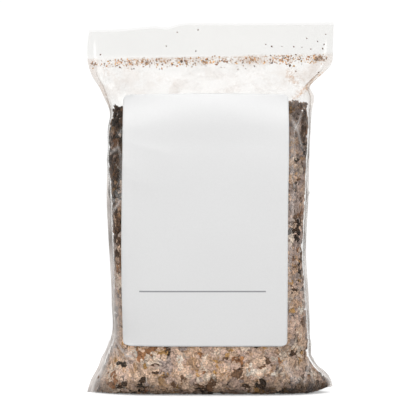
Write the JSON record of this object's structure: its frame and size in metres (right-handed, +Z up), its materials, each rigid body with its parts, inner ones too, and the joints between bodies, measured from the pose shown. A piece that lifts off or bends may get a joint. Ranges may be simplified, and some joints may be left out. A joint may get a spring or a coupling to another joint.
{
  "type": "bag of mica flakes",
  "caption": "Clear press-zip bag standing upright, filled with crushed natural mica flakes, with a large blank white label on its front.",
  "frame": {"origin": "middle of the bag's base, on the surface it stands on", "axes": "+Z up to the lip, the labelled front faces -Y, +X to the right of someone looking at the front"},
  "size_m": [0.1516, 0.0537, 0.2277],
  "materials": {
    "film": "clear polyethylene film, glossy, slightly hazy with mica dust",
    "zip": "milky extruded polyethylene",
    "paper": "uncoated white label paper",
    "mica": "crushed mica, pearly grey-pink, gold and dark brown flakes",
    "mica_book": "layered mica books with a pearly to metallic lustre"
  },
  "bodies": {
    "root": {"bag_front_panel": "film", "bag_back_panel": "film", "zip_ridge_track": "zip", "zip_groove_track": "zip", "label": "paper", "mica_fill": "mica", "flake_01": "mica_book", "flake_02": "mica_book", "flake_03": "mica_book", "flake_04": "mica_book", "flake_05": "mica_book", "flake_06": "mica_book", "flake_07": "mica_book", "flake_08": "mica_book", "flake_09": "mica_book", "flake_10": "mica_book", "flake_11": "mica_book", "flake_12": "mica_book", "flake_13": "mica_book", "flake_14": "mica_book", "flake_15": "mica_book", "flake_16": "mica_book", "flake_17": "mica_book", "flake_18": "mica_book", "flake_19": "mica_book", "flake_20": "mica_book", "flake_21": "mica_book", "flake_22": "mica_book", "flake_23": "mica_book", "flake_24": "mica_book", "flake_25": "mica_book", "flake_26": "mica_book", "flake_27": "mica_book", "flake_28": "mica_book", "flake_29": "mica_book", "flake_30": "mica_book", "flake_31": "mica_book", "flake_32": "mica_book", "flake_33": "mica_book"}
  },
  "joints": []
}
